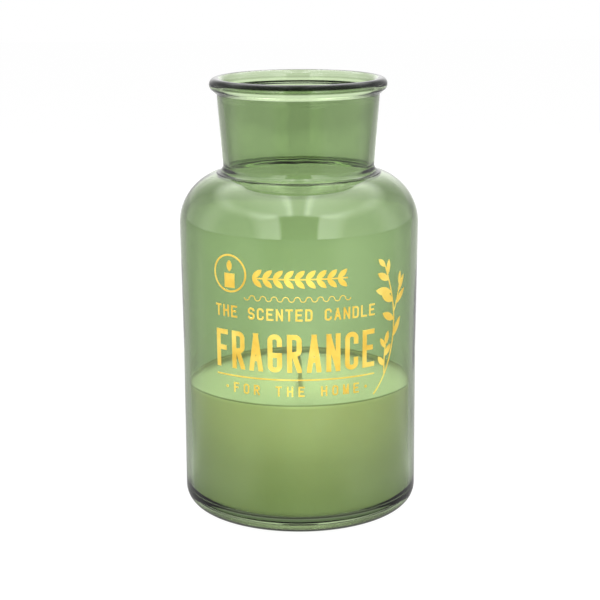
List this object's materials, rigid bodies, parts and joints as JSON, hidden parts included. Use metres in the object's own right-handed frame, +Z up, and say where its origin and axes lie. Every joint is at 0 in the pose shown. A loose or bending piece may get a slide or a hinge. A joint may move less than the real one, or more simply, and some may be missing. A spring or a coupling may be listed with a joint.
{
  "type": "jar candle",
  "caption": "Scented candle poured in a wide-necked green glass jar with a rolled bead rim, a gilt print on the front, and a wick held by a steel tab in the wax.",
  "frame": {"origin": "centre of the jar's base on the table", "axes": "+Z up along the jar's axis, the print faces -Y, +X to the right of the print"},
  "size_m": [0.1536, 0.1536, 0.28],
  "materials": {
    "green_glass": "clear bottle green, slightly wavy",
    "wax": "smooth poured wax",
    "cotton": "waxed cotton braid, dark at the tip",
    "tinned_steel": "tinned sheet",
    "pad_foam": "double-sided foam",
    "gilt_ink": "metallic gold screen print"
  },
  "bodies": {
    "root": {"glass_jar": "green_glass", "wax_fill": "wax", "wick": "cotton", "wick_sustainer": "tinned_steel", "adhesive_pad": "pad_foam", "gold_print": "gilt_ink"}
  },
  "joints": []
}
